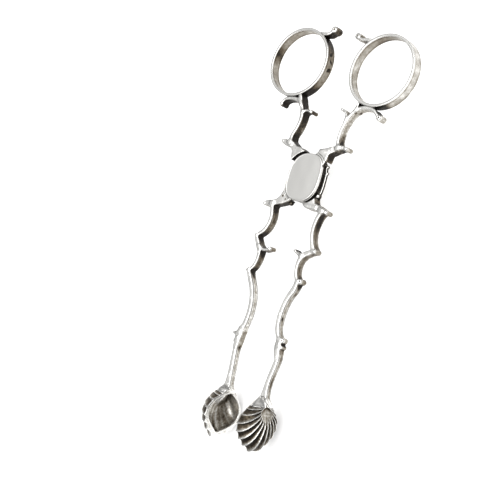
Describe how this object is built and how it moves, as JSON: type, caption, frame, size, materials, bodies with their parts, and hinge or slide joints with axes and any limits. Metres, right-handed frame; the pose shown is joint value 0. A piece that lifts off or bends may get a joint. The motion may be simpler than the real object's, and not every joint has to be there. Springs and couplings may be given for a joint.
{
  "type": "scissor tongs",
  "caption": "Small scissor tongs in cast silver: finger rings, scrolled arms crossing at an oval box hinge, and fluted scallop-shell grips.",
  "frame": {"origin": "on the hinge axis, at the outer face of the back cover plate", "axes": "+Y from the hinge towards the finger rings, +Z out of the front cover plate along the hinge axis, +X to the right seen from the front"},
  "size_m": [0.0504, 0.1212, 0.0124],
  "materials": {
    "polished_silver": "worn polished silver",
    "cast_silver": "cast silver, bright on the edges and dark with tarnish on the side walls",
    "shell_silver": "cast silver with dark tarnish in the flutes and hollows"
  },
  "bodies": {
    "back_arm": {"back_cover_plate": "polished_silver", "back_hinge_plate": "cast_silver", "back_finger_ring": "polished_silver", "back_ring_spur": "cast_silver", "back_handle_scroll": "cast_silver", "back_arm_scroll": "cast_silver", "back_arm_bow": "cast_silver", "back_collar": "cast_silver", "back_grip_stem": "cast_silver", "back_shell": "shell_silver", "pivot_rivet": "cast_silver", "hinge_washer": "cast_silver"},
    "front_arm": {"front_cover_plate": "polished_silver", "front_hinge_plate": "cast_silver", "front_finger_ring": "polished_silver", "front_ring_spur": "cast_silver", "front_handle_scroll": "cast_silver", "front_arm_scroll": "cast_silver", "front_arm_bow": "cast_silver", "front_collar": "cast_silver", "front_grip_stem": "cast_silver", "front_shell": "shell_silver"}
  },
  "joints": [
    {"name": "pivot", "type": "hinge", "parent": "back_arm", "child": "front_arm", "pos_m": [0, 0, 0.0017], "axis": [0, 0, 1], "range_deg": [-60, 9.1]}
  ]
}
